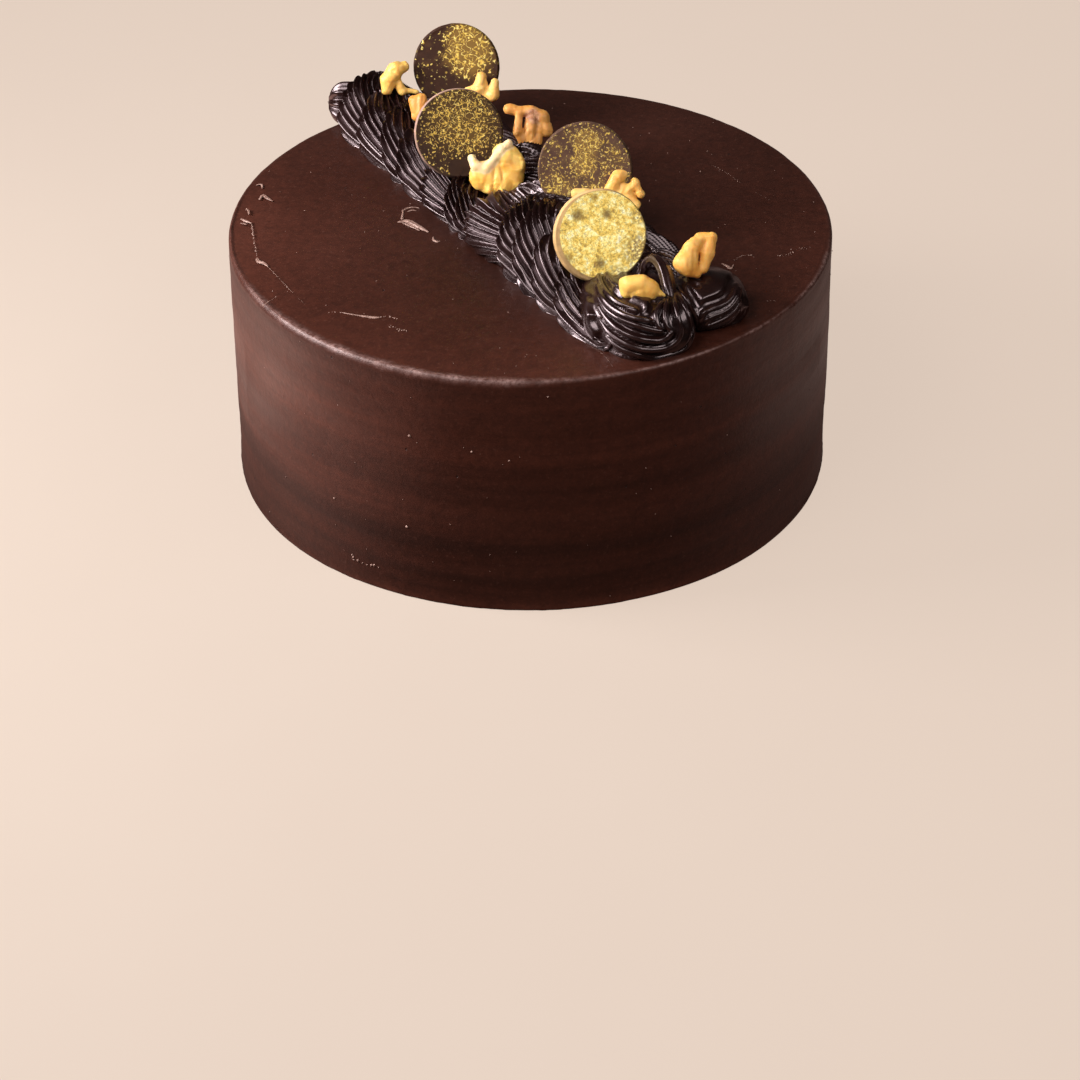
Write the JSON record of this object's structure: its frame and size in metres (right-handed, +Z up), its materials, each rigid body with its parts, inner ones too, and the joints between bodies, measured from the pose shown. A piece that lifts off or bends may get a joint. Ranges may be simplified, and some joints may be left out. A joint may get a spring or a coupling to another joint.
{
  "type": "chocolate fudge cake",
  "caption": "Whole round chocolate fudge cake, frosted smooth, with a diagonal rope of piped ganache set with round gold-flecked chocolate discs and walnut pieces.",
  "frame": {"origin": "centre of the cake's underside", "axes": "+Z up, out of the frosted top; +X to the right and -Y towards the viewer of the pictured side; the piped rope runs from back left (-X +Y) to front right (+X -Y)"},
  "size_m": [0.2006, 0.2006, 0.1235],
  "materials": {
    "frosting": "satin chocolate frosting",
    "ganache": "glossy dark ganache",
    "disc": "dark chocolate flecked with gold",
    "walnut": "pale nut flesh"
  },
  "bodies": {
    "root": {"cake_body": "frosting", "piping": "ganache", "disc_1": "disc", "disc_2": "disc", "disc_3": "disc", "disc_4": "disc", "walnut_1": "walnut", "walnut_2": "walnut", "walnut_3": "walnut", "walnut_4": "walnut", "walnut_5": "walnut", "walnut_6": "walnut", "walnut_7": "walnut", "walnut_8": "walnut", "walnut_9": "walnut"}
  },
  "joints": []
}
